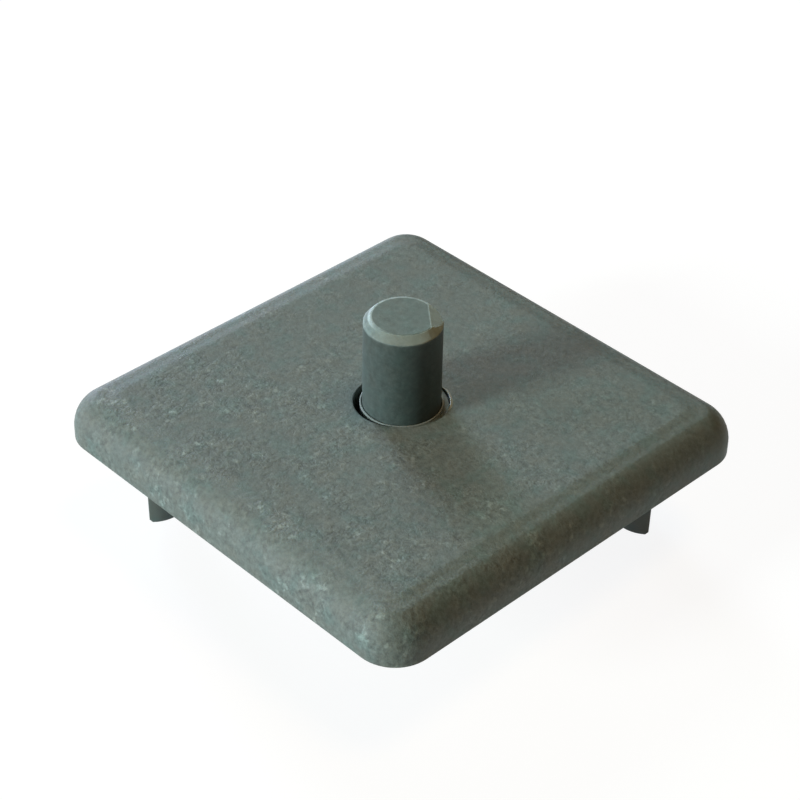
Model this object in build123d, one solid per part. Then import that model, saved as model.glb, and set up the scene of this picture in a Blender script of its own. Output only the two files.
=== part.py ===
"""Square end cap for a modular aluminium profile, with a drive pin that locks it in the profile's core bore.

The plate closes the profile's end. Under it a split sleeve fits the core bore and two half-round pegs on one
diagonal keep the plate from turning. The pin stands proud of the plate until it is driven in flush.

Frame: the origin is on the core axis at the seating face, +Z points out of the profile, and X and Y run along
the plate's sides. All sizes are in millimetres and degrees.
"""

from build123d import *
import os
from math import radians, sqrt, tan

# Cover plate
plate_side = 45.0
plate_thickness = 4.68  # seating face to the flat field on the outer side
plate_corner_radius = 3.8
plate_rim_radius = 3.4  # rounding of the outer rim
plate_foot_chamfer = 0.25  # broken edge round the seating face
field_margin = 3.75  # from the plate's side to the edge of the flat field
field_slope_width = 0.95  # slope that falls from the field to the ledge round it
field_slope_drop = 0.18
field_ledge_fall = 4.0  # the ledge goes on outwards at this angle till it meets the rounded rim
field_corner_radius = 1.5

# Cored underside
skin_thickness = 2.5  # wall left over the pockets
seat_width = 3.0  # unbroken border that closes on the profile's end face
boss_wall = 1.5  # solid ring left round the sleeve's root
rib_thickness = 1.4
rib_count = 8
pocket_corner_radius = 0.5

# Drive pin
pin_radius = 3.64  # where the pin leaves the plate before it is driven in
pin_draft = 0.1
pin_proud = 9.55  # height above the flat field, which is also the travel
pin_engaged = 4.0  # length that the plate holds before the pin is driven in
pin_rim_width = 0.6  # bevel round the top
pin_rim_height = 0.68
pin_rim_softening = 0.18
pin_lead_chamfer = 0.6

# Gate spot, trimmed off the pin's rim: a steep cut on the flank and a shallow one on the top
gate_side_angle = 63.0  # direction of the steep cut, from +X towards +Y
gate_side_reach = 1.65  # how far it runs down the flank
gate_side_depth = 0.29  # how much it takes off at the top
gate_top_angle = 50.0
gate_top_distance = 2.38  # from the pin's axis to the shallow cut on the top face
gate_top_fall = 27.0

# Hole and expansion sleeve
pin_clearance = 0.12  # radial gap between the pin's widest end and the bore
lobe_depth = 0.72  # the hole is this much wider along the peg diagonal, where the sleeve is split
sleeve_radius = 5.0
sleeve_length = 9.5
sleeve_lead_length = 0.8
sleeve_lead_inset = 0.4
slit_width = 3.0

# Anti-turn pegs
peg_radius = 3.25
peg_inset = 6.03  # from the plate's side to the peg's axis
peg_flat_offset = 0.18  # the outer side is cut flat this far outside the peg's axis
peg_length = 7.95
peg_draft = 0.5
peg_tip_chamfer = 0.3
peg_pad_margin = 1.0  # solid plate left round a peg's root

# The sleeve is split, and the pegs stand, along this diagonal
peg_diagonal = 45.0

pin_low_radius = pin_radius + pin_engaged * tan(radians(pin_draft))
bore_radius = pin_low_radius + pin_clearance


def rounded_square(side: float, radius: float) -> Sketch:
    """A square with rounded corners, centred on the core axis."""
    return RectangleRounded(side, side, radius)


def plate_blank() -> Part:
    """The solid plate: a rounded outer rim, a broken edge at the seat and a flat field inside a low ledge."""
    blank = extrude(rounded_square(plate_side, plate_corner_radius), amount=plate_thickness)
    rim_edges = blank.faces().sort_by(Axis.Z)[-1].edges()
    blank = fillet(rim_edges, plate_rim_radius)
    foot_edges = blank.faces().sort_by(Axis.Z)[0].edges()
    blank = chamfer(foot_edges, plate_foot_chamfer)

    # A lid with the field, its slope and the ledge on top trims the blank from above
    field_side = plate_side - 2 * field_margin
    ledge_side = field_side + 2 * field_slope_width
    ledge_height = plate_thickness - field_slope_drop
    lid_side = plate_side + 2.0
    lid_edge_height = ledge_height - (lid_side - ledge_side) / 2 * tan(radians(field_ledge_fall))
    ledge_corner = field_corner_radius + field_slope_width / 2
    lid_corner = plate_corner_radius + 1.0
    lid = loft(
        [
            Pos(0, 0, lid_edge_height) * rounded_square(lid_side, lid_corner),
            Pos(0, 0, ledge_height) * rounded_square(ledge_side, ledge_corner),
            Pos(0, 0, plate_thickness) * rounded_square(field_side, field_corner_radius),
        ],
        ruled=True,
    )
    lid += extrude(rounded_square(lid_side, lid_corner), amount=lid_edge_height)
    return blank & lid


def pockets() -> Part:
    """The cutter for the pockets under the plate: what border, boss, ribs and peg pads leave open."""
    inner_side = plate_side - 2 * seat_width
    outline = Rectangle(inner_side, inner_side) - Circle(sleeve_radius + boss_wall)
    for turn in range(rib_count // 2):
        outline -= Rot(0, 0, turn * 360 / rib_count) * Rectangle(2 * plate_side, rib_thickness)

    pad_start = plate_side / 2 - peg_inset - peg_radius - peg_pad_margin
    pad_side = plate_side / 2 - pad_start
    for side in (0, 180):
        pad = Pos(pad_start, pad_start) * Rectangle(pad_side, pad_side, align=Align.MIN)
        outline -= Rot(0, 0, side) * pad
    cutter = extrude(outline, amount=plate_thickness - skin_thickness)
    return fillet(cutter.edges().filter_by(Axis.Z), pocket_corner_radius)


def pin_hole() -> Part:
    """The cutter for the hole through the plate: round for the pin, with a lobe at each end of the slit."""
    lobes = SlotCenterToCenter(2 * lobe_depth, 2 * bore_radius, rotation=peg_diagonal)
    return extrude(lobes, amount=plate_thickness)


def expansion_sleeve() -> Part:
    """The tube under the plate, split along the peg diagonal so that its two halves can spread."""
    wall = Polyline(
        (bore_radius, 0),
        (sleeve_radius, 0),
        (sleeve_radius, sleeve_lead_length - sleeve_length),
        (sleeve_radius - sleeve_lead_inset, -sleeve_length),
        (bore_radius, -sleeve_length),
        close=True,
    )
    tube = revolve(Plane.XZ * make_face(wall), Axis.Z)
    slit = Box(
        2 * (sleeve_radius + slit_width),
        slit_width,
        sleeve_length,
        align=(Align.CENTER, Align.CENTER, Align.MAX),
    )
    return tube - Rot(0, 0, peg_diagonal) * slit


def anti_turn_peg() -> Part:
    """One half-round peg on the diagonal's +X end: round towards the core, flat outside, drafted downwards."""
    section = Circle(peg_radius)
    section -= Pos(peg_flat_offset, 0) * Rectangle(
        2 * peg_radius, 4 * peg_radius, align=(Align.MIN, Align.CENTER)
    )
    peg = extrude(section, amount=peg_length, dir=(0, 0, -1), taper=peg_draft)
    tip_edges = peg.faces().sort_by(Axis.Z)[0].edges()
    peg = chamfer(tip_edges.sort_by(Axis.X)[-1], peg_tip_chamfer)
    peg_distance = sqrt(2) * (plate_side / 2 - peg_inset)
    return Rot(0, 0, peg_diagonal) * Pos(peg_distance, 0, 0) * peg


def cap_body() -> Part:
    """The one-piece moulding: plate, cored underside, split sleeve and both pegs."""
    body = plate_blank()
    body -= pockets()
    body -= pin_hole()
    body += expansion_sleeve()
    for side in (0, 180):
        body += Rot(0, 0, side) * anti_turn_peg()
    return body


def drive_pin() -> Part:
    """The pin as it stands before it is driven in: slightly drafted, with a bevelled rim and a trimmed gate."""
    top = plate_thickness + pin_proud
    bottom = plate_thickness - pin_engaged
    top_radius = pin_radius - pin_proud * tan(radians(pin_draft))
    flank = Polyline(
        (0, bottom),
        (pin_low_radius - pin_lead_chamfer, bottom),
        (pin_low_radius, bottom + pin_lead_chamfer),
        (top_radius, top - pin_rim_height),
        (top_radius - pin_rim_width, top),
        (0, top),
        close=True,
    )
    pin = revolve(Plane.XZ * make_face(flank), Axis.Z)
    rings = pin.edges().filter_by(GeomType.CIRCLE).group_by(Axis.Z)
    pin = fillet(rings[-1] + rings[-2], pin_rim_softening)

    side = Vector(1, 0, 0).rotate(Axis.Z, gate_side_angle)
    side_slope = (side * gate_side_reach + Vector(0, 0, gate_side_depth)).normalized()
    side_foot = side * top_radius + Vector(0, 0, top - gate_side_reach)
    pin = split(pin, bisect_by=Plane(origin=side_foot, z_dir=side_slope), keep=Keep.BOTTOM)

    across = Vector(1, 0, 0).rotate(Axis.Z, gate_top_angle)
    top_slope = (across * tan(radians(gate_top_fall)) + Vector(0, 0, 1)).normalized()
    chord = across * gate_top_distance + Vector(0, 0, top)
    return split(pin, bisect_by=Plane(origin=chord, z_dir=top_slope), keep=Keep.BOTTOM)


os.makedirs("parts", exist_ok=True)
export_step(cap_body(), "parts/cap_body.step")
export_step(drive_pin(), "parts/drive_pin.step")
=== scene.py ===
"""Looks of a square profile end cap with its standing drive pin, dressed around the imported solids.

All sizes are in metres in the part's own frame: the origin is on the core axis at the seating face,
+Z points out of the profile, and X and Y run along the plate's sides. Directions in the plane of the
plate are in degrees from +X towards +Y.
"""

from __future__ import annotations

import logging
import math
from dataclasses import dataclass
from enum import Enum
from functools import partial
from typing import Callable, Mapping, Sequence, Union

import bmesh
import bpy
from mathutils import Matrix, Vector


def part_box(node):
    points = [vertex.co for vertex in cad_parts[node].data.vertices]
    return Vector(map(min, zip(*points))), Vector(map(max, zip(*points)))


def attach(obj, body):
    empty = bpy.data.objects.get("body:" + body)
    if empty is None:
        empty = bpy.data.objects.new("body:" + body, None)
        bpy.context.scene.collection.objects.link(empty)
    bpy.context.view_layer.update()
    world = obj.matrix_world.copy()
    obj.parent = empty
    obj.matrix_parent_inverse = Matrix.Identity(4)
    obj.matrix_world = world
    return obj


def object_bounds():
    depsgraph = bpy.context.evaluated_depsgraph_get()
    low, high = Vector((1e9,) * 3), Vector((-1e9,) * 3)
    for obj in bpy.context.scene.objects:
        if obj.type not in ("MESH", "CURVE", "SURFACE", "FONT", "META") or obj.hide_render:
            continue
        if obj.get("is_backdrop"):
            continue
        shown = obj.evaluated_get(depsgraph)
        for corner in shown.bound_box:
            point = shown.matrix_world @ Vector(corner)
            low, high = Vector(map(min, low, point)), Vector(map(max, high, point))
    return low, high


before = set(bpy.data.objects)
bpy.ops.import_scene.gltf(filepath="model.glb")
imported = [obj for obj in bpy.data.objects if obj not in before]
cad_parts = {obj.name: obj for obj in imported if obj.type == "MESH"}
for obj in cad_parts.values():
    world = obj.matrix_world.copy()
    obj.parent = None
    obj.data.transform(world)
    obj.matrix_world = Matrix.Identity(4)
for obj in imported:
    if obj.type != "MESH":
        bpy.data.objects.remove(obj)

LOG = logging.getLogger("end_cap")
MM = 0.001
FULL_TURN = 360.0

Colour = tuple[float, float, float]
Direction = tuple[float, float, float]
Span = tuple[float, float]
Section = list[tuple[float, float]]
Linkable = Union["Wire", float, Sequence[float]]

UPWARDS: Direction = (0.0, 0.0, 1.0)
WHITE: Colour = (1.0, 1.0, 1.0)

# Steps of noise, most of which lies between 0.3 and 0.7
COOL_STEP: Span = (0.36, 0.5)
WARM_STEP: Span = (0.5, 0.66)
CLUMP_STEP: Span = (0.34, 0.66)
# The step that picks the painted glints, light spots that stand for glints
PAINTED_GLINT_STEP: Span = (0.56, 0.72)
WEAR_STEP: Span = (0.35, 0.65)


class Body(Enum):
    """The bodies that a piece can ride on."""

    CAP = "cap"
    PIN = "pin"


class Slot(Enum):
    """The record's material slots."""

    CAP_PLASTIC = "cap_plastic"
    PIN_PLASTIC = "pin_plastic"


class Maths(Enum):
    """The operations on plain values that the finishes use."""

    ADD = "ADD"
    SUBTRACT = "SUBTRACT"
    MULTIPLY = "MULTIPLY"
    MAXIMUM = "MAXIMUM"
    ABSOLUTE = "ABSOLUTE"


class Mixed(Enum):
    """What can be mixed."""

    COLOURS = "RGBA"
    DIRECTIONS = "VECTOR"


def direction(azimuth: float, rise: float = 0.0) -> Direction:
    """Works out a direction of length 1.

    Args:
        azimuth: Where it points, in degrees from +X towards +Y.
        rise: How far it points upwards, in degrees.

    Returns:
        The direction.
    """
    turn, climb = math.radians(azimuth), math.radians(rise)
    return math.cos(turn) * math.cos(climb), math.sin(turn) * math.cos(climb), math.sin(climb)


def rgba(colour: Colour) -> tuple[float, float, float, float]:
    """A colour with full cover, as colour sockets take it."""
    return (*colour, 1.0)


@dataclass(frozen=True)
class Wire:
    """One output of a shader graph, with the arithmetic in which the finishes are written.

    Attributes:
        graph: The graph that the output belongs to.
        socket: The output itself, or None for a node that has none.
    """

    graph: "ShaderGraph"
    socket: bpy.types.NodeSocket | None

    def _maths(self, operation: Maths, *terms: Linkable) -> "Wire":
        """Adds one Math node.

        Args:
            operation: What the node works out.
            terms: Its inputs, in their order.

        Returns:
            The node's result.
        """
        return self.graph.node(
            "ShaderNodeMath", {"operation": operation.value}, dict(enumerate(terms))
        )

    def __add__(self, other: Linkable) -> "Wire":
        """This value plus another."""
        return self._maths(Maths.ADD, self, other)

    def __radd__(self, other: Linkable) -> "Wire":
        """Another value plus this one."""
        return self._maths(Maths.ADD, other, self)

    def __sub__(self, other: Linkable) -> "Wire":
        """This value less another."""
        return self._maths(Maths.SUBTRACT, self, other)

    def __rsub__(self, other: Linkable) -> "Wire":
        """Another value less this one."""
        return self._maths(Maths.SUBTRACT, other, self)

    def __mul__(self, other: Linkable) -> "Wire":
        """This value times another."""
        return self._maths(Maths.MULTIPLY, self, other)

    def __rmul__(self, other: Linkable) -> "Wire":
        """Another value times this one."""
        return self._maths(Maths.MULTIPLY, other, self)

    def __abs__(self) -> "Wire":
        """This value without its sign."""
        return self._maths(Maths.ABSOLUTE, self)

    def at_least(self, other: Linkable) -> "Wire":
        """The larger of this value and another."""
        return self._maths(Maths.MAXIMUM, self, other)

    def lifted(self, floor: float) -> "Wire":
        """This share, drawn together so that it starts from a floor and still ends at 1."""
        return floor + (1.0 - floor) * self

    def rise(self, start: float, end: float) -> "Wire":
        """A smooth step of this value.

        Args:
            start: The value at which the step is still 0.
            end: The value from which it is 1. Below start, the step falls instead of rising.

        Returns:
            The step, from 0 to 1.
        """
        return self.graph.node(
            "ShaderNodeMapRange",
            {"interpolation_type": "SMOOTHSTEP", "clamp": True},
            {"Value": self, "From Min": start, "From Max": end, "To Min": 0.0, "To Max": 1.0},
        )


@dataclass(frozen=True)
class Place(Wire):
    """The place on the surface that is shaded, in the part's own frame."""

    def along(self, towards: Direction) -> Wire:
        """Measures how far it lies along a direction.

        Args:
            towards: The direction, of length 1.

        Returns:
            The distance from the origin, which is below 0 on the other side.
        """
        return self.graph.node(
            "ShaderNodeVectorMath", {"operation": "DOT_PRODUCT"}, {0: self, 1: towards}, "Value"
        )

    def height(self) -> Wire:
        """How far it lies above the seating face."""
        return self.along(UPWARDS)

    def aside(self) -> Wire:
        """How far it is from the core axis in X or in Y, whichever is more."""
        return abs(self.along((1.0, 0.0, 0.0))).at_least(abs(self.along((0.0, 1.0, 0.0))))

    def off_axis(self) -> Wire:
        """Measures how far it is from the core axis.

        Returns:
            The distance.
        """
        flat = self.graph.node(
            "ShaderNodeVectorMath", {"operation": "MULTIPLY"}, {0: self, 1: (1.0, 1.0, 0.0)}
        )
        return self.graph.node(
            "ShaderNodeVectorMath", {"operation": "LENGTH"}, {"Vector": flat}, "Value"
        )

    def noise(self, size: float, detail: float, hardness: float = 0.5) -> Wire:
        """Cloudy noise from 0 to 1.

        Args:
            size: About how far apart its lumps are.
            detail: How many finer layers it has.
            hardness: How strong each finer layer is.

        Returns:
            The noise at this place.
        """
        return self.graph.node(
            "ShaderNodeTexNoise",
            {"noise_dimensions": "3D"},
            {"Vector": self, "Scale": 1 / size, "Detail": detail, "Roughness": hardness},
        )


class ShaderGraph:
    """The node graph of one material or of the world."""

    def __init__(self, tree: bpy.types.NodeTree) -> None:
        """Takes over a node tree and empties it.

        Args:
            tree: The tree of the material or world.
        """
        tree.nodes.clear()
        self.tree = tree

    def node(
        self,
        kind: str,
        settings: Mapping[str, object] | None = None,
        inputs: Mapping[str | int, Linkable] | None = None,
        output: str | int = 0,
    ) -> Wire:
        """Adds one node.

        Args:
            kind: The node's type.
            settings: Its own options, which are set first.
            inputs: The value or link of each socket that isn't left as it is.
            output: The name or place of the output that is wanted, among those in use.

        Returns:
            That output.
        """
        made = self.tree.nodes.new(kind)
        for option, choice in (settings or {}).items():
            setattr(made, option, choice)
        for place, value in (inputs or {}).items():
            socket = self._pick(made.inputs, place)
            if isinstance(value, Wire):
                self.tree.links.new(value.socket, socket)
            else:
                socket.default_value = value
        return Wire(self, self._pick(made.outputs, output) if made.outputs else None)

    @staticmethod
    def _pick(sockets: bpy.types.bpy_prop_collection, place: str | int) -> bpy.types.NodeSocket:
        """Finds a socket among those in use.

        Args:
            sockets: The inputs or outputs of a node.
            place: The socket's name or place.

        Returns:
            The socket.
        """
        in_use = [socket for socket in sockets if socket.enabled]
        if isinstance(place, int):
            return in_use[place]
        return next(socket for socket in in_use if socket.name == place)

    def place(self) -> Place:
        """The place on the surface that is shaded."""
        return Place(self, self.node("ShaderNodeTexCoord", output="Object").socket)

    def blend(
        self, factor: Linkable, first: Linkable, second: Linkable, kind: Mixed = Mixed.COLOURS
    ) -> Wire:
        """Mixes two colours or two directions.

        Args:
            factor: The share of the second.
            first: A colour of four numbers or a direction of three, or a link.
            second: Another of the same kind.
            kind: Which of the two they are.

        Returns:
            What they mix to.
        """
        return self.node(
            "ShaderNodeMix",
            {"data_type": kind.value, "clamp_factor": True},
            {"Factor": factor, "A": first, "B": second},
        )

    def shade(self, colour: Linkable, level: Linkable) -> Wire:
        """Makes a colour lighter or darker.

        Args:
            colour: The colour.
            level: The factor on all its channels.

        Returns:
            The new colour.
        """
        return self.node(
            "ShaderNodeVectorMath", {"operation": "SCALE"}, {"Vector": colour, "Scale": level}
        )

    def rounding(self, radius: float) -> Wire:
        """The normal with the edges rounded to a radius."""
        return self.node("ShaderNodeBevel", {"samples": 6}, {"Radius": radius})


def new_material(name: str) -> tuple[bpy.types.Material, ShaderGraph]:
    """Makes an empty material.

    Args:
        name: Its name.

    Returns:
        The material and its node graph.
    """
    material = bpy.data.materials.new(name)
    material.use_nodes = True
    return material, ShaderGraph(material.node_tree)


def add_object(name: str, data: bpy.types.ID) -> bpy.types.Object:
    """Puts a mesh, a lamp or a camera in the scene.

    Args:
        name: The object's name.
        data: The mesh, lamp or camera.

    Returns:
        The object.
    """
    made = bpy.data.objects.new(name, data)
    bpy.context.scene.collection.objects.link(made)
    return made


@dataclass(frozen=True, kw_only=True)
class MouldedPlastic:
    """Grey-green polyamide as it comes out of the mould.

    Attributes:
        name: The material's name.
        plain: The colour in the middle of its range.
        cool: The greener end of that range.
        warm: The browner end of that range.
        patch_size: How far apart patches of one tint are.
        drift: How far the tone drifts over the whole piece, as a share.
        drift_size: How far apart the lighter and darker ends of the drift are.
        grain_size: How far apart the lumps of the mould's spark-eroded grain are.
        grain_depth: The height that the grain's whole range stands for.
        grain_contrast: How much lighter its tops are than its floors over that range, as a share.
        clump_size: How far apart the patches are in which the grain is strong.
        calm_grain: How strong the grain is between those patches, as a share.
        painted_glint_size: How far apart the painted glints can be: light spots painted where the
            grain would catch the light.
        painted_glint_gain: How much lighter the painted glints are, as a share.
        calm_painted_glints: How strong the painted glints are between the patches of strong grain, as
            a share.
        roughness: The roughness on the eroded skin.
        milled_smoothness: How much smoother it is where the mould was only milled.
        grain_roughness: How much rougher the grain's tops are than its floors.
        painted_glint_smoothness: How much smoother the painted glints are.
        gloss: The specular level.
        edge_rounding: How far the shading rounds the edges.
    """

    name: str
    plain: Colour
    cool: Colour
    warm: Colour
    patch_size: float
    drift: float
    drift_size: float = 14.0 * MM
    grain_size: float
    grain_depth: float
    grain_contrast: float
    clump_size: float
    calm_grain: float = 0.6
    painted_glint_size: float
    painted_glint_gain: float
    calm_painted_glints: float = 0.3
    roughness: float
    milled_smoothness: float = 0.0
    grain_roughness: float = 0.25
    painted_glint_smoothness: float = 0.12
    gloss: float
    edge_rounding: float

    def eroded_skin(self, at: Place) -> Linkable:
        """The share of the mould's spark-eroded grain, from 0 to 1."""
        return 1.0

    def lit_side_grain(self, at: Place) -> Linkable:
        """How strong the grain and its painted glints are, as a share of their full strength."""
        return 1.0

    def with_wear_light_and_shade(self, at: Place, colour: Wire) -> Wire:
        """The colour with wear, painted shade and painted light, or the given one."""
        return colour

    def eased(self, at: Place, rounded: Wire) -> Wire:
        """The normal where edges are softer than elsewhere, or the given one."""
        return rounded

    def tint(self, at: Place) -> Wire:
        """The plastic's own colour, in patches from greener to browner.

        Args:
            at: The shaded place.

        Returns:
            The colour, without grain or wear.
        """
        patches = at.noise(self.patch_size, detail=3.0, hardness=0.6)
        greener = at.graph.blend(patches.rise(*COOL_STEP), rgba(self.cool), rgba(self.plain))
        return at.graph.blend(patches.rise(*WARM_STEP), greener, rgba(self.warm))

    def build(self) -> bpy.types.Material:
        """Makes the material.

        Returns:
            The material, with its node graph.
        """
        material, graph = new_material(self.name)
        at = graph.place()
        eroded = self.eroded_skin(at)
        lit_side_grain = self.lit_side_grain(at)
        grain = at.noise(self.grain_size, detail=3.0, hardness=0.7)
        clumps = at.noise(self.clump_size, detail=1.0).rise(*CLUMP_STEP)
        # The grain's colour, its bump and the painted glints grow stronger towards the lit side:
        # partly painted light
        strength = eroded * lit_side_grain * clumps.lifted(self.calm_grain)
        # Painted glints: light spots that stand for glints where the grain catches the light
        painted_glints = at.noise(self.painted_glint_size, detail=3.0, hardness=0.6).rise(*PAINTED_GLINT_STEP)
        painted_glints = painted_glints * clumps.lifted(self.calm_painted_glints) * strength * lit_side_grain

        drift = at.noise(self.drift_size, detail=1.0)
        level = 1 + self.drift * (2 * drift - 1)
        level = level + self.grain_contrast * (grain - 0.5) * strength
        level = level + self.painted_glint_gain * painted_glints
        colour = self.with_wear_light_and_shade(at, graph.shade(self.tint(at), level))

        roughness = self.roughness - self.milled_smoothness * (1 - eroded)
        roughness = roughness + self.grain_roughness * (grain - 0.5)
        roughness = roughness - self.painted_glint_smoothness * painted_glints
        normal = graph.node(
            "ShaderNodeBump",
            inputs={
                "Strength": 1.0,
                "Distance": self.grain_depth,
                "Height": grain * strength,
                "Normal": self.eased(at, graph.rounding(self.edge_rounding)),
            },
        )
        surface = graph.node(
            "ShaderNodeBsdfPrincipled",
            inputs={
                "Base Color": colour,
                "Roughness": roughness,
                "Specular IOR Level": self.gloss,
                "Normal": normal,
            },
        )
        graph.node("ShaderNodeOutputMaterial", inputs={"Surface": surface})
        return material


@dataclass(frozen=True, kw_only=True)
class CapPlastic(MouldedPlastic):
    """The cap's plastic: eroded on all that shows, milled smooth on the core side of the mould.

    Attributes:
        pocket_sides: How far aside the smooth pockets under the plate end.
        pocket_heights: How high they end.
        seat_heights: How high the smooth pegs and sleeve end, at the seating face.
        ledge_sides: How far aside the softer edges of the ledge and of the rim begin.
        ledge_heights: How high they begin.
        ledge_rounding: How far the shading rounds those edges.
        lit_grain_side: The side that faces the near window, in degrees, towards which the grain and
            the painted glints are painted stronger.
        lit_grain_reach: How far from the core axis they go on growing towards that side.
        shaded_side_grain: How strong they are on the other side, as a share.
    """

    pocket_sides: Span = (19.55 * MM, 19.65 * MM)
    pocket_heights: Span = (2.3 * MM, 2.4 * MM)
    seat_heights: Span = (-0.02 * MM, 0.05 * MM)
    ledge_sides: Span = (17.3 * MM, 17.6 * MM)
    ledge_heights: Span = (1.5 * MM, 2.5 * MM)
    ledge_rounding: float = 0.95 * MM
    lit_grain_side: float = 275.0
    lit_grain_reach: float = 16.0 * MM
    shaded_side_grain: float = 0.62

    def eroded_skin(self, at: Place) -> Wire:
        """Everything but the sleeve, the pegs and the pockets, from 0 to 1.

        Args:
            at: The shaded place.

        Returns:
            The share of eroded skin.
        """
        height = at.height()
        outside = at.aside().rise(*self.pocket_sides)
        return outside.at_least(height.rise(*self.pocket_heights)) * height.rise(*self.seat_heights)

    def lit_side_grain(self, at: Place) -> Wire:
        """The grain's strength, growing towards the lit side as painted light."""
        towards = at.along(direction(self.lit_grain_side))
        return towards.rise(-self.lit_grain_reach, self.lit_grain_reach).lifted(self.shaded_side_grain)

    def eased(self, at: Place, rounded: Wire) -> Wire:
        """The ledge and the outer rim with softer edges.

        Args:
            at: The shaded place.
            rounded: The normal with the usual rounding.

        Returns:
            The normal.
        """
        share = at.aside().rise(*self.ledge_sides) * at.height().rise(*self.ledge_heights)
        softer = at.graph.rounding(self.ledge_rounding)
        return at.graph.blend(share, rounded, softer, Mixed.DIRECTIONS)


@dataclass(frozen=True)
class Cut:
    """A flat cut on the pin.

    Attributes:
        azimuth: The direction in which it faces, in degrees.
        rise: How far it faces upwards, in degrees.
        radius: How far from the axis a point of its plane is, in that direction.
        height: How high that point is.
        pale_and_lit: How pale it is, as a share: partly whitening by the cutter and partly painted
            light.
        border: How far off its plane its looks end.
    """

    azimuth: float
    rise: float
    radius: float
    height: float
    pale_and_lit: float
    border: float = 0.09 * MM

    def share(self, at: Place) -> Wire:
        """The cut's face, from 0 to 1.

        Args:
            at: The shaded place.

        Returns:
            The share, which is 1 in the cut's plane.
        """
        rise = math.radians(self.rise)
        distance = math.cos(rise) * self.radius + math.sin(rise) * self.height
        return abs(at.along(direction(self.azimuth, self.rise)) - distance).rise(self.border, 0.0)


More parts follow.
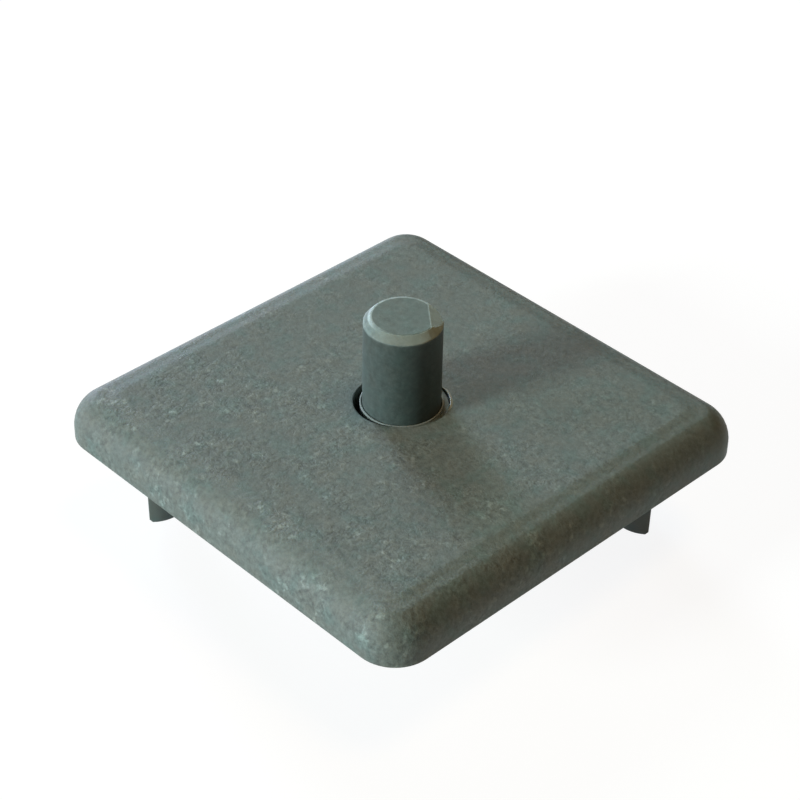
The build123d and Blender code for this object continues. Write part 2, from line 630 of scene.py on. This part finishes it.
@dataclass(frozen=True, kw_only=True)
class PinPlastic(MouldedPlastic):
    """The pin's plastic: finer grain, painted shade on the flank, painted highlight on the bevel's
    edges and a pale gate spot.

    Attributes:
        pale: The colour of cut places, also used for the painted light and painted highlight on the
            bevel.
        flank_painted_shade: How much darker the flank under the bevel is painted, as painted shade, as
            a share.
        top: The height of the pin's top, where the bevel ends.
        bevel_height: How far under it the bevel starts.
        bevel_outer: The radius of the bevel's lower edge.
        bevel_inner: The radius of its upper edge.
        bevel_border: How far over the top the bevel's looks go.
        flank_border: How far down the flank they go.
        cuts: The cuts of the gate spot.
        edge_width: How wide the pale edges of painted highlight are.
        high_edge_core: The share of that width that is fully pale at the upper edge.
        low_edge_core: The same at the lower edge.
        low_edge_share: How pale the lower edge is, as a share of the upper one.
        highlight_side: The side on which the painted highlight is strongest, in degrees, which faces
            the far lamps.
        highlight_span: Where towards it the painted highlight starts and is full, in radii of the
            upper edge.
        highlight_evenness: The least share of the painted highlight along an edge.
        cut_evenness: The least share of that paleness on a cut.
        wear_size: How far apart the patches of stronger paleness are.
        bevel_pallor: How pale the whole bevel is at the least, as a share.
        bevel_pallor_range: How much paler it is in patches.
        dulled_side: The side on which the bevel is dulled, and so faces further upwards.
        dulled_span: Where towards it the dulling starts and is full, in radii of the upper edge.
        dulled_share: How much of its slope the bevel has lost there, as a share.
        dulled_painted_light: How much it is lightened there as painted light, as a share.
    """

    pale: Colour
    flank_painted_shade: float
    top: float
    bevel_height: float = 0.68 * MM
    bevel_outer: float = 3.62 * MM
    bevel_inner: float = 3.02 * MM
    bevel_border: float = 0.05 * MM
    flank_border: float = 0.1 * MM
    cuts: tuple[Cut, ...]
    edge_width: float = 0.27 * MM
    high_edge_core: float = 0.5
    low_edge_core: float = 0.3
    low_edge_share: float = 0.35
    highlight_side: float = 150.0
    highlight_span: Span = (-1.1, 0.3)
    highlight_evenness: float = 0.6
    cut_evenness: float = 0.8
    wear_size: float = 0.6 * MM
    bevel_pallor: float = 0.02
    bevel_pallor_range: float = 0.1
    dulled_side: float = 5.0
    dulled_span: Span = (-0.6, 0.5)
    dulled_share: float = 0.8
    dulled_painted_light: float = 0.58

    @property
    def bevel_low(self) -> float:
        """The height of the bevel's lower edge."""
        return self.top - self.bevel_height

    def with_wear_light_and_shade(self, at: Place, colour: Wire) -> Wire:
        """The flank darkened as painted shade, and the bevel's paleness of wear, painted light and
        painted highlight.

        Args:
            at: The shaded place.
            colour: The colour without them.

        Returns:
            The colour with them.
        """
        # Painted shade: the flank under the bevel is darkened
        shaded_flank = at.graph.shade(colour, 1 - self.flank_painted_shade * self.shaded_flank(at))
        return at.graph.blend(self.pale_wear_and_light(at), shaded_flank, rgba(self.pale))

    def eased(self, at: Place, rounded: Wire) -> Wire:
        """The normal, turned upwards where the bevel is dulled."""
        share = self.dulled(at) * self.dulled_share
        return at.graph.blend(share, rounded, UPWARDS, Mixed.DIRECTIONS)

    def shaded_flank(self, at: Place) -> Wire:
        """The flank under the bevel, which is darkened as painted shade, from 0 to 1.

        Args:
            at: The shaded place.

        Returns:
            The share.
        """
        border = self.flank_border
        outside = at.off_axis().rise(self.bevel_outer - 2 * border, self.bevel_outer - border)
        return outside * at.height().rise(self.bevel_low + border, self.bevel_low - 3 * border)

    def pale_wear_and_light(self, at: Place) -> Wire:
        """How pale the bevel, its edges and the gate spot are: partly cut wear, partly painted light
        and painted highlight.

        Args:
            at: The shaded place.

        Returns:
            The share of the pale colour.
        """
        uneven = at.noise(self.wear_size, detail=3.0).rise(*WEAR_STEP)
        pallor = self.bevel(at) * (self.bevel_pallor + self.bevel_pallor_range * uneven)
        # Painted light: the dulled bevel faces away from the lamps and is lightened
        pallor = self.dulled(at) * self.dulled_painted_light + pallor
        # Pale wear and painted light: the edge highlight, the dulled bevel, the bevel and the cuts
        pale_wear_and_light = (self.edge_highlight(at) * uneven.lifted(self.highlight_evenness)).at_least(pallor)
        for cut in self.cuts:
            pale_and_lit = cut.share(at) * uneven.lifted(self.cut_evenness) * cut.pale_and_lit
            pale_wear_and_light = pale_wear_and_light.at_least(pale_and_lit)
        return pale_wear_and_light

    def edge_highlight(self, at: Place) -> Wire:
        """Both edges of the bevel, pale as painted highlight, from 0 to 1.

        Args:
            at: The shaded place.

        Returns:
            The share, which is largest on the rubbed side.
        """
        radius, height, width = at.off_axis(), at.height(), self.edge_width
        low = abs(radius - self.bevel_outer).at_least(abs(height - self.bevel_low))
        high = abs(radius - self.bevel_inner).at_least(abs(height - self.top))
        edges = self.low_edge_share * low.rise(width, self.low_edge_core * width)
        edges = high.rise(width, self.high_edge_core * width).at_least(edges)
        # Painted highlight: strongest on the side of the far lamps
        return edges * self.towards(at, self.highlight_side, self.highlight_span)

    def bevel(self, at: Place) -> Wire:
        """The bevel round the top, with the gate spot, from 0 to 1.

        Args:
            at: The shaded place.

        Returns:
            The share.
        """
        share = at.off_axis().rise(self.bevel_inner - self.bevel_border, self.bevel_inner)
        share = share * at.height().rise(self.bevel_low - self.flank_border, self.bevel_low)
        for cut in self.cuts:
            share = share.at_least(cut.share(at))
        return share

    def dulled(self, at: Place) -> Wire:
        """The dulled part of the bevel, from 0 to 1."""
        return self.bevel(at) * self.towards(at, self.dulled_side, self.dulled_span)

    def towards(self, at: Place, side: float, span: Span) -> Wire:
        """How far the place lies towards one side of the pin.

        Args:
            at: The shaded place.
            side: The side, in degrees.
            span: Where the step starts and ends, in radii of the bevel's upper edge.

        Returns:
            The step, from 0 to 1.
        """
        start, end = (self.bevel_inner * radii for radii in span)
        return at.along(direction(side)).rise(start, end)


@dataclass(frozen=True, kw_only=True)
class FilmPlastic(MouldedPlastic):
    """The torn film's plastic: darker than the plate's as painted shade in the hole, white partly as
    stretched plastic and partly as painted highlight, a little on the collar and most on the burr.

    Attributes:
        pale: The colour of the white burr and collar.
        burr_radii: The radii between which the burr sets in.
        burr_heights: The heights between which it sets in.
        collar_radii: The radii between which the collar sets in, from outside inwards.
        collar_heights: The heights between which it turns white.
        collar_share: How white the collar is, as a share of the burr's whiteness.
    """

    pale: Colour
    burr_radii: Span = (4.0 * MM, 4.05 * MM)
    burr_heights: Span = (4.66 * MM, 4.69 * MM)
    collar_radii: Span = (3.9 * MM, 3.87 * MM)
    collar_heights: Span = (4.3 * MM, 4.5 * MM)
    collar_share: float = 0.34

    def with_wear_light_and_shade(self, at: Place, colour: Wire) -> Wire:
        """The burr and collar, white partly as stretched plastic and partly as painted highlight.

        Args:
            at: The shaded place.
            colour: The colour without that white.

        Returns:
            The colour with the white of the burr and collar.
        """
        radius, height = at.off_axis(), at.height()
        burr = radius.rise(*self.burr_radii) * height.rise(*self.burr_heights)
        collar = radius.rise(*self.collar_radii) * height.rise(*self.collar_heights)
        # Painted highlight on the burr and collar, partly also stretched plastic
        stretched_and_lit = burr.at_least(self.collar_share * collar)
        return at.graph.blend(stretched_and_lit, colour, rgba(self.pale))


@dataclass(frozen=True)
class Skin:
    """A patch of moulded film in the hole, between the collar and the wall.

    Attributes:
        start: Where it starts, in degrees.
        end: Where it ends.
        start_depth: How deep it lies under the flat field at its start.
        end_depth: How deep it lies at its end.
        wall_gap: How far it stops short of the wall. Below 0, it reaches into the wall.
    """

    start: float
    end: float
    start_depth: float
    end_depth: float
    wall_gap: float = -0.02 * MM


@dataclass
class BreakFilm:
    """The thin film of plastic round the pin, which tears when the pin is driven in.

    Attributes:
        field_height: The height of the plate's flat field.
        collar_inner: The clear radius of the torn collar, just outside the pin.
        collar_outer: Its outer radius.
        collar_stand: How far it stands over the flat field.
        collar_reach: How far it reaches down under the field.
        collar_rounding: How far its edge is rounded.
        collar_steps: How many steps it has round the pin.
        waver: How uneven its edge is.
        waves: The share, the number round the pin and the start of each wave of that edge.
        hole_radius: The radius of the hole without its lobes.
        lobe_shift: How far the ends of the hole are moved outwards along the split.
        split_angle: The direction of the split, in degrees.
        skins: The patches left in the hole.
        skin_thickness: How thick they are.
        skin_root: How far they reach into the collar.
        skin_rise: How much higher they lie at the wall than at the collar.
        skin_least: How wide they are at the least.
        skin_steps: How many steps each has.
        burr_start: Where the raised burr on one lobe's wall starts, in degrees.
        burr_end: Where it ends.
        burr_run_out: Over how many degrees each of its ends runs out.
        burr_least: How much of it is left at its very ends, as a share.
        burr_width: How wide it is.
        burr_crest: Where its crest lies in that width, as a share.
        burr_overhang: How far it stands out into the hole.
        burr_stand: How far it stands over the flat field.
        burr_shoulder: How far its corner over the hole lies under the crest.
        burr_sink: How far its outer side lies under the field.
        burr_root: How far it reaches down under the field.
        burr_steps: How many steps it has.
    """

    field_height: float
    collar_inner: float = 3.71 * MM
    collar_outer: float = 3.87 * MM
    collar_stand: float = 0.02 * MM
    collar_reach: float = 0.7 * MM
    collar_rounding: float = 0.03 * MM
    collar_steps: int = 240
    waver: float = 0.015 * MM
    waves: tuple[tuple[float, int, float], ...] = ((0.5, 7, 0.6), (0.3, 17, 0.0), (0.2, 41, 1.1))
    hole_radius: float = 3.767 * MM
    lobe_shift: float = 0.72 * MM
    split_angle: float = 45.0
    skins: tuple[Skin, ...] = (
        Skin(start=-128.0, end=-62.0, start_depth=1.6 * MM, end_depth=0.02 * MM),
        Skin(start=34.0, end=-28.0, start_depth=0.5 * MM, end_depth=0.02 * MM),
        Skin(start=34.0, end=80.0, start_depth=0.5 * MM, end_depth=0.25 * MM, wall_gap=0.14 * MM),
    )
    skin_thickness: float = 0.2 * MM
    skin_root: float = 0.02 * MM
    skin_rise: float = 0.01 * MM
    skin_least: float = 0.01 * MM
    skin_steps: int = 48
    burr_start: float = 28.0
    burr_end: float = 78.0
    burr_run_out: float = 8.0
    burr_least: float = 0.02
    burr_width: float = 0.24 * MM
    burr_crest: float = 0.2
    burr_overhang: float = 0.04 * MM
    burr_stand: float = 0.1 * MM
    burr_shoulder: float = 0.02 * MM
    burr_sink: float = 0.01 * MM
    burr_root: float = 0.1 * MM
    burr_steps: int = 40

    def build(self, material: bpy.types.Material) -> bpy.types.Object:
        """Builds the film.

        Args:
            material: What it is made of.

        Returns:
            The piece.
        """
        mesh = bmesh.new()
        self._sweep(mesh, 0.0, FULL_TURN, self.collar_steps, self._collar)
        self._sweep(mesh, self.burr_start, self.burr_end, self.burr_steps, self._burr)
        for skin in self.skins:
            self._sweep(mesh, skin.start, skin.end, self.skin_steps, partial(self._patch, skin))
        bmesh.ops.recalc_face_normals(mesh, faces=mesh.faces)
        data = bpy.data.meshes.new("break_film")
        mesh.to_mesh(data)
        mesh.free()
        data.materials.append(material)
        piece = add_object("break_film", data)
        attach(piece, Body.CAP.value)
        return piece

    def _wall(self, turn: float) -> float:
        """How far the hole's wall is from the axis.

        Args:
            turn: The direction, in degrees.

        Returns:
            The distance to the stadium that the hole is.
        """
        off = math.radians(turn - self.split_angle)
        along, across = abs(math.cos(off)), abs(math.sin(off))
        if self.hole_radius * along <= self.lobe_shift * across:
            return self.hole_radius / across
        lobe_reach = math.sqrt(self.hole_radius**2 - (self.lobe_shift * across) ** 2)
        return self.lobe_shift * along + lobe_reach

    def _unevenness(self, turn: float) -> float:
        """How far the collar's edge is up or down in a direction in degrees, from -1 to 1."""
        angle = math.radians(turn)
        return sum(share * math.sin(count * angle + start) for share, count, start in self.waves)

    def _collar(self, turn: float) -> Section:
        """The collar's section.

        Args:
            turn: The direction, in degrees.

        Returns:
            The section's corners, round about, as distances from the axis and heights.
        """
        edge = self.field_height + self.collar_stand + self.waver * self._unevenness(turn)
        low = self.field_height - self.collar_reach
        inner, outer, rounding = self.collar_inner, self.collar_outer, self.collar_rounding
        return [
            (inner, low),
            (inner, edge - rounding),
            (inner + rounding, edge),
            (outer - rounding, edge),
            (outer, edge - rounding),
            (outer, low),
        ]

    def _patch(self, skin: Skin, turn: float) -> Section:
        """A skin's section.

        Args:
            skin: The skin.
            turn: The direction, in degrees.

        Returns:
            The section's corners, round about, as distances from the axis and heights.
        """
        left = (skin.end - turn) / (skin.end - skin.start)
        top = self.field_height - skin.end_depth - left**2 * (skin.start_depth - skin.end_depth)
        low = top - self.skin_thickness
        inner = self.collar_outer - self.skin_root
        wall = max(self._wall(turn) - skin.wall_gap, inner + self.skin_least)
        return [(inner, low), (inner, top), (wall, top + self.skin_rise), (wall, low)]

    def _burr(self, turn: float) -> Section:
        """The burr's section.

        Args:
            turn: The direction, in degrees.

        Returns:
            The section's corners, round about, as distances from the axis and heights.
        """
        to_end = min(turn - self.burr_start, self.burr_end - turn)
        swell = max(self.burr_least, min(1.0, to_end / self.burr_run_out))
        width = self.burr_width * swell
        wall = self._wall(turn) - self.burr_overhang
        crest = self.field_height + self.burr_stand * swell
        low = self.field_height - self.burr_root
        return [
            (wall, low),
            (wall, crest - self.burr_shoulder),
            (wall + self.burr_crest * width, crest),
            (wall + width, self.field_height - self.burr_sink),
            (wall + width, low),
        ]

    @staticmethod
    def _sweep(
        mesh: bmesh.types.BMesh,
        start: float,
        end: float,
        steps: int,
        section: Callable[[float], Section],
    ) -> None:
        """Carries a section round the axis and closes it.

        Args:
            mesh: The mesh that takes the faces.
            start: The first direction, in degrees.
            end: The last one. A full turn closes on itself.
            steps: The steps between them.
            section: The section's corners in a direction.
        """
        closed = end - start >= FULL_TURN
        rings = []
        for step in range(steps if closed else steps + 1):
            turn = start + (end - start) * step / steps
            x, y, _ = direction(turn)
            rings.append([mesh.verts.new((r * x, r * y, z)) for r, z in section(turn)])
        pairs = list(zip(rings, rings[1:]))
        if closed:
            pairs.append((rings[-1], rings[0]))
        else:
            mesh.faces.new(rings[0])
            mesh.faces.new(list(reversed(rings[-1])))
        for here, after in pairs:
            for place in range(len(here)):
                beyond = (place + 1) % len(here)
                mesh.faces.new((here[place], after[place], after[beyond], here[beyond]))


@dataclass
class EndCap:
    """The cap and its pin: the solids with their finishes, and the film between them.

    Attributes:
        cap_plastic: The finish of the plate, the sleeve and the pegs.
        pin_plastic: The finish of the pin.
        film_plastic: The finish of the film, which tore: painted shade in the hole, and a white burr
            and collar partly as painted highlight.
        film: The torn film round the pin.
    """

    cap_plastic: CapPlastic
    pin_plastic: PinPlastic
    film_plastic: FilmPlastic
    film: BreakFilm

    def dress(self) -> None:
        """Gives each solid its finish and adds the film."""
        self._coat("cap_body", Slot.CAP_PLASTIC, self.cap_plastic.build())
        self._coat("drive_pin", Slot.PIN_PLASTIC, self.pin_plastic.build())
        piece = self.film.build(self.film_plastic.build())
        LOG.info("%s: torn film of %d faces round the pin", piece.name, len(piece.data.polygons))

    @staticmethod
    def _coat(node: str, slot: Slot, material: bpy.types.Material) -> None:
        """Puts a finish on a solid.

        Args:
            node: The solid's name.
            slot: The record's slot that the finish is for. Not used.
            material: The finish.
        """
        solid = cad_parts[node]
        for holder in solid.material_slots:
            holder.material = material
        LOG.info("%s: finished with %s", node, material.name)


@dataclass(frozen=True)
class SoftLight:
    """A large far-off softbox.

    Attributes:
        name: Its name.
        azimuth: Where it stands, in degrees.
        elevation: How high it stands, in degrees.
        level: How brightly it alone lights a white surface that faces it, where 1 shows as white.
        spread: How wide it looks from the object, in degrees.
        colour: Its colour.
    """

    name: str
    azimuth: float
    elevation: float
    level: float
    spread: float
    colour: Colour

    def place(self) -> None:
        """Sets the light up, facing the object."""
        data = bpy.data.lights.new(self.name, "SUN")
        data.energy = math.pi * self.level
        data.angle = math.radians(self.spread)
        data.color = self.colour
        lamp = add_object(self.name, data)
        towards = Vector(direction(self.azimuth, self.elevation))
        lamp.rotation_mode = "QUATERNION"
        lamp.rotation_quaternion = towards.to_track_quat("Z", "Y")
        lamp.location = towards


@dataclass
class Studio:
    """The plain pale floor, the white surround, a dark flag on one side and the soft lights.

    Attributes:
        lights: The softboxes.
        sky_level: How brightly the surround lights the object.
        floor_side: The floor's side.
        floor_grey: How much of the light the floor throws back on the object from close by.
        floor_far_grey: How much of it the floor throws back from afar.
        floor_radii: The radii between which the floor darkens.
        floor_share: How much of the light the floor shows to the eye, so that it keeps the shadow.
        floor_lift: The glow that makes the lit floor white to the eye.
        bore_radii: The radii between which the glow sets in, so that none shows through the bore.
        flag_radius: How far the flag stands round the object.
        flag_height: How high it stands.
        flag_start: Where it starts, in degrees.
        flag_end: Where it ends.
        flag_panels: How many flat panels it has.
        flag_colour: Its colour.
    """

    lights: Sequence[SoftLight]
    sky_level: float = 0.02
    floor_side: float = 8.0
    floor_grey: float = 0.78
    floor_far_grey: float = 0.25
    floor_radii: Span = (0.06, 0.12)
    floor_share: float = 0.2
    floor_lift: float = 0.885
    bore_radii: Span = (5.0 * MM, 5.3 * MM)
    flag_radius: float = 1.5
    flag_height: float = 3.0
    flag_start: float = -75.0
    flag_end: float = 135.0
    flag_panels: int = 24
    flag_colour: Colour = (0.03, 0.027, 0.022)

    def build(self, floor_height: float) -> None:
        """Sets up floor, surround and lights.

        Args:
            floor_height: The height on which the object stands.
        """
        self._floor(floor_height)
        self._flag(floor_height)
        self._surround()
        for light in self.lights:
            light.place()
            LOG.info("%s: level %.2f", light.name, light.level)

    def _floor(self, height: float) -> None:
        """Lays the floor.

        Args:
            height: Its height.
        """
        half = self.floor_side / 2
        data = bpy.data.meshes.new("floor")
        outline = [(x * half, y * half, height) for x, y in ((-1, -1), (1, -1), (1, 1), (-1, 1))]
        data.from_pydata(outline, [], [(0, 1, 2, 3)])
        floor = add_object("floor", data)
        floor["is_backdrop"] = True

        material, graph = new_material("pale_floor")
        radius = graph.place().off_axis()
        card = graph.blend(
            radius.rise(*self.floor_radii),
            rgba((self.floor_grey,) * 3),
            rgba((self.floor_far_grey,) * 3),
        )
        thrown = graph.node("ShaderNodeBsdfDiffuse", inputs={"Color": card})
        shown = graph.node("ShaderNodeBsdfDiffuse", inputs={"Color": rgba((self.floor_share,) * 3)})
        glow = graph.node(
            "ShaderNodeEmission", inputs={"Color": rgba(WHITE), "Strength": self.floor_lift}
        )
        white = graph.node("ShaderNodeAddShader", inputs={0: shown, 1: glow})
        bright = self._seen(graph) * radius.rise(*self.bore_radii)
        lit = graph.node("ShaderNodeMixShader", inputs={0: bright, 1: thrown, 2: white})
        graph.node("ShaderNodeOutputMaterial", inputs={"Surface": lit})
        data.materials.append(material)

    def _flag(self, height: float) -> None:
        """Stands a dark curved flag round the shaded side, out of the camera's sight.

        Args:
            height: The height of its foot.
        """
        points = []
        for step in range(self.flag_panels + 1):
            turn = self.flag_start + (self.flag_end - self.flag_start) * step / self.flag_panels
            x, y, _ = (self.flag_radius * share for share in direction(turn))
            points += [(x, y, height), (x, y, height + self.flag_height)]
        panels = [(2 * k, 2 * k + 1, 2 * k + 3, 2 * k + 2) for k in range(self.flag_panels)]
        data = bpy.data.meshes.new("dark_flag")
        data.from_pydata(points, [], panels)
        flag = add_object("dark_flag", data)
        flag.visible_camera = False
        flag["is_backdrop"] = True

        material, graph = new_material("black_cloth")
        cloth = graph.node("ShaderNodeBsdfDiffuse", inputs={"Color": rgba(self.flag_colour)})
        graph.node("ShaderNodeOutputMaterial", inputs={"Surface": cloth})
        data.materials.append(material)

    def _surround(self) -> None:
        """Makes the world white to the eye and dim to the object."""
        world = bpy.data.worlds.new("studio")
        world.use_nodes = True
        graph = ShaderGraph(world.node_tree)
        soft, white = (
            graph.node("ShaderNodeBackground", inputs={"Color": rgba(WHITE), "Strength": level})
            for level in (self.sky_level, 1.0)
        )
        seen = graph.node("ShaderNodeMixShader", inputs={0: self._seen(graph), 1: soft, 2: white})
        graph.node("ShaderNodeOutputWorld", inputs={"Surface": seen})
        bpy.context.scene.world = world

    @staticmethod
    def _seen(graph: ShaderGraph) -> Wire:
        """Tells rays from the eye, also by way of gloss or glass, from all others.

        Args:
            graph: The graph that needs to know.

        Returns:
            1 for those rays and 0 for the others.
        """
        rays = ("Is Camera Ray", "Is Glossy Ray", "Is Transmission Ray")
        straight, glossy, through = (
            graph.node("ShaderNodeLightPath", output=ray) for ray in rays
        )
        return straight.at_least(glossy).at_least(through)


@dataclass
class PhotoCamera:
    """The camera at the photograph's viewing angle.

    Attributes:
        azimuth: Where it stands, in degrees.
        elevation: How high it stands, in degrees.
        distance: How far it is from the origin along its own axis.
        aside: How far it stands to its right.
        above: How far it stands up.
        roll: How far it is turned about its own axis, in degrees.
        lens: Its focal length, in millimetres.
        sensor: The width of its sensor, in millimetres.
        nearest: The nearest distance that it still shows.
    """

    azimuth: float = -44.532
    elevation: float = 37.431
    distance: float = 207.253 * MM
    aside: float = -0.081 * MM
    above: float = 3.805 * MM
    roll: float = 1.132
    lens: float = 100.44
    sensor: float = 36.0
    nearest: float = 10.0 * MM

    def place(self) -> None:
        """Sets the camera up and makes it the scene's own."""
        roll = math.radians(self.roll)
        back = Vector(direction(self.azimuth, self.elevation))
        level = Vector(direction(self.azimuth + 90.0))
        upright = back.cross(level)
        right = math.cos(roll) * level + math.sin(roll) * upright
        up = math.cos(roll) * upright - math.sin(roll) * level
        stand = back * self.distance + right * self.aside + up * self.above
        data = bpy.data.cameras.new("photo_camera")
        data.lens = self.lens
        data.sensor_width = self.sensor
        data.clip_start = self.nearest
        camera = add_object("photo_camera", data)
        facing = Matrix((right, up, back)).transposed().to_4x4()
        camera.matrix_world = Matrix.Translation(stand) @ facing
        bpy.context.scene.camera = camera


def cap_plastic() -> CapPlastic:
    """Sets the finish of the plate, the sleeve and the pegs.

    Returns:
        The finish.
    """
    return CapPlastic(
        name="eroded_cap_plastic",
        plain=(0.162, 0.187, 0.170),
        cool=(0.149, 0.189, 0.173),
        warm=(0.167, 0.184, 0.163),
        patch_size=2.2 * MM,
        drift=0.06,
        grain_size=0.5 * MM,
        grain_depth=0.09 * MM,
        grain_contrast=2.1,
        clump_size=3.5 * MM,
        painted_glint_size=0.95 * MM,
        painted_glint_gain=0.8,
        roughness=0.58,
        milled_smoothness=0.13,
        gloss=0.25,
        edge_rounding=0.2 * MM,
    )


def pin_plastic() -> PinPlastic:
    """Sets the finish of the pin, with the two cuts that trimmed the gate off its rim.

    Returns:
        The finish. Its first cut is the steep one on the flank, its second the shallow one on top.
    """
    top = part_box("drive_pin")[1].z
    flank_cut_reach = 1.65 * MM
    flank_cut_depth = 0.29 * MM
    flank_cut = Cut(
        azimuth=63.0,
        rise=math.degrees(math.atan2(flank_cut_depth, flank_cut_reach)),
        radius=3.623 * MM,
        height=top - flank_cut_reach,
        pale_and_lit=0.3,
    )
    # Both cuts are pale partly from the cutter and partly as painted light, the shallow top cut most
    top_cut = Cut(azimuth=50.0, rise=63.0, radius=2.38 * MM, height=top, pale_and_lit=0.8)
    return PinPlastic(
        name="fine_pin_plastic",
        plain=(0.156, 0.195, 0.178),
        cool=(0.149, 0.197, 0.180),
        warm=(0.162, 0.192, 0.172),
        # The pale colour serves both the whitened cuts and the painted light and highlight on the
        # bevel
        pale=(0.44, 0.53, 0.51),
        patch_size=2.0 * MM,
        drift=0.04,
        grain_size=0.6 * MM,
        grain_depth=0.025 * MM,
        grain_contrast=1.1,
        clump_size=2.6 * MM,
        painted_glint_size=0.30 * MM,
        painted_glint_gain=0.06,
        roughness=0.5,
        gloss=0.2,
        flank_painted_shade=0.46,
        edge_rounding=0.35 * MM,
        top=top,
        cuts=(flank_cut, top_cut),
    )


def film_plastic() -> FilmPlastic:
    """Sets the finish of the torn film.

    Returns:
        The finish.
    """
    return FilmPlastic(
        name="film_plastic_with_painted_light_and_shade",
        # The film's colours are darker than the plate's: painted shade in the hole round the pin
        plain=(0.108, 0.130, 0.118),
        cool=(0.102, 0.131, 0.120),
        warm=(0.113, 0.127, 0.112),
        pale=(0.52, 0.56, 0.53),
        patch_size=1.5 * MM,
        drift=0.05,
        grain_size=0.3 * MM,
        grain_depth=0.02 * MM,
        grain_contrast=0.3,
        clump_size=1.5 * MM,
        painted_glint_size=0.3 * MM,
        painted_glint_gain=0.1,
        roughness=0.45,
        gloss=0.4,
        edge_rounding=0.02 * MM,
    )


def end_cap() -> EndCap:
    """The cap with the finishes of its pieces and the film, which lies in the plate's flat field."""
    field_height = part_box("cap_body")[1].z
    return EndCap(cap_plastic(), pin_plastic(), film_plastic(), BreakFilm(field_height))


def studio() -> Studio:
    """Sets the studio in which the cap is shown.

    Returns:
        The studio.
    """
    return Studio(
        # Each has a name, an azimuth, an elevation, a level, a spread and a colour
        lights=(
            SoftLight("near_window", 255.0, 20.0, 0.82, 16.0, (0.82, 1.0, 0.97)),
            SoftLight("far_low_window", 163.0, 14.0, 0.50, 16.0, (0.64, 0.67, 1.0)),
            SoftLight("left_low_window", 225.0, 8.0, 0.38, 16.0, (0.81, 0.78, 1.0)),
            SoftLight("far_window", 157.0, 32.0, 0.27, 20.0, (0.67, 1.0, 0.96)),
            SoftLight("ceiling", 45.0, 75.0, 0.21, 20.0, (1.0, 0.66, 0.31)),
        ),
    )


def corners() -> list[list[float]]:
    """The lowest and highest corner of all that shows of the object."""
    bpy.context.view_layer.update()
    return [list(corner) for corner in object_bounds()]


def main() -> None:
    """Builds the finishes, the film, the studio and the camera."""
    logging.basicConfig(level=logging.INFO, format="%(name)s: %(message)s")
    solids_box = corners()
    floor_height = solids_box[0][2]
    end_cap().dress()
    studio().build(floor_height)
    PhotoCamera().place()
    bpy.context.scene.view_settings.view_transform = "Standard"
    {"cad": solids_box, "visual": corners()}


if __name__ == "__main__":
    main()
